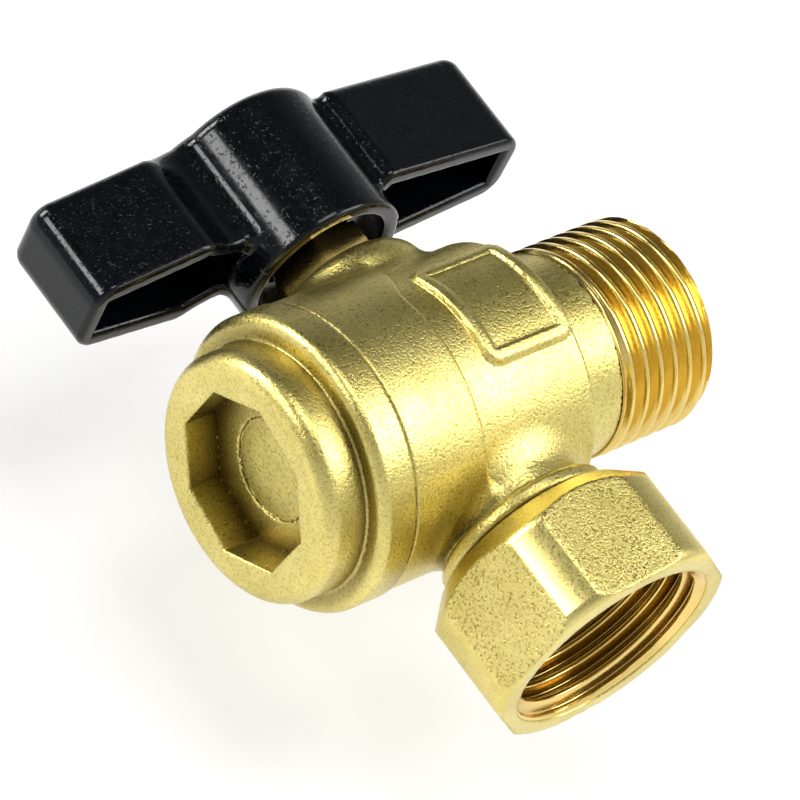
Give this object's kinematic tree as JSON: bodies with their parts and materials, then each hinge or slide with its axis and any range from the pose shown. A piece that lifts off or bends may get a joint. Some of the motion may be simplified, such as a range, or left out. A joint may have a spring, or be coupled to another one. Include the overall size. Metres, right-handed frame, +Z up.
{
  "type": "boiler filling valve",
  "caption": "Brass angle ball valve with a male threaded inlet, a swivel nut on the branch, a socketed end plug and a black butterfly handle, used to fill a boiler.",
  "frame": {"origin": "on the main axis at the root of the male inlet thread", "axes": "+X out along the inlet thread, +Z up the stem towards the handle, the branch and swivel nut point down -Z"},
  "size_m": [0.0534, 0.0288, 0.0626],
  "materials": {
    "forged_brass": "satin, shot blasted",
    "turned_brass": "turned",
    "plated_ball": "polished",
    "white_seal": "matte",
    "black_rubber": "matte",
    "black_handle": "gloss with a fine orange peel",
    "zinc_steel": "zinc plated"
  },
  "bodies": {
    "body": {"valve_body": "forged_brass", "end_plug": "forged_brass", "plug_oring": "black_rubber", "inlet_seat": "white_seal", "rear_seat": "white_seal", "thrust_washer": "white_seal", "stem_oring": "black_rubber", "stem_packing": "white_seal", "gland_nut": "turned_brass", "nut_ring": "zinc_steel"},
    "handle": {"handle": "black_handle", "flat_washer": "zinc_steel", "lock_washer": "zinc_steel", "handle_screw": "zinc_steel", "stem": "turned_brass", "ball": "plated_ball"},
    "nut": {"swivel_nut": "forged_brass"}
  },
  "joints": [
    {"name": "handle_turn", "type": "hinge", "parent": "body", "child": "handle", "pos_m": [-0.0151, 0, 0], "axis": [0, 0, 1], "range_deg": [-90, 0]},
    {"name": "nut_spin", "type": "hinge", "parent": "body", "child": "nut", "pos_m": [-0.0151, 0, 0], "axis": [0, 0, 1], "continuous": true}
  ]
}
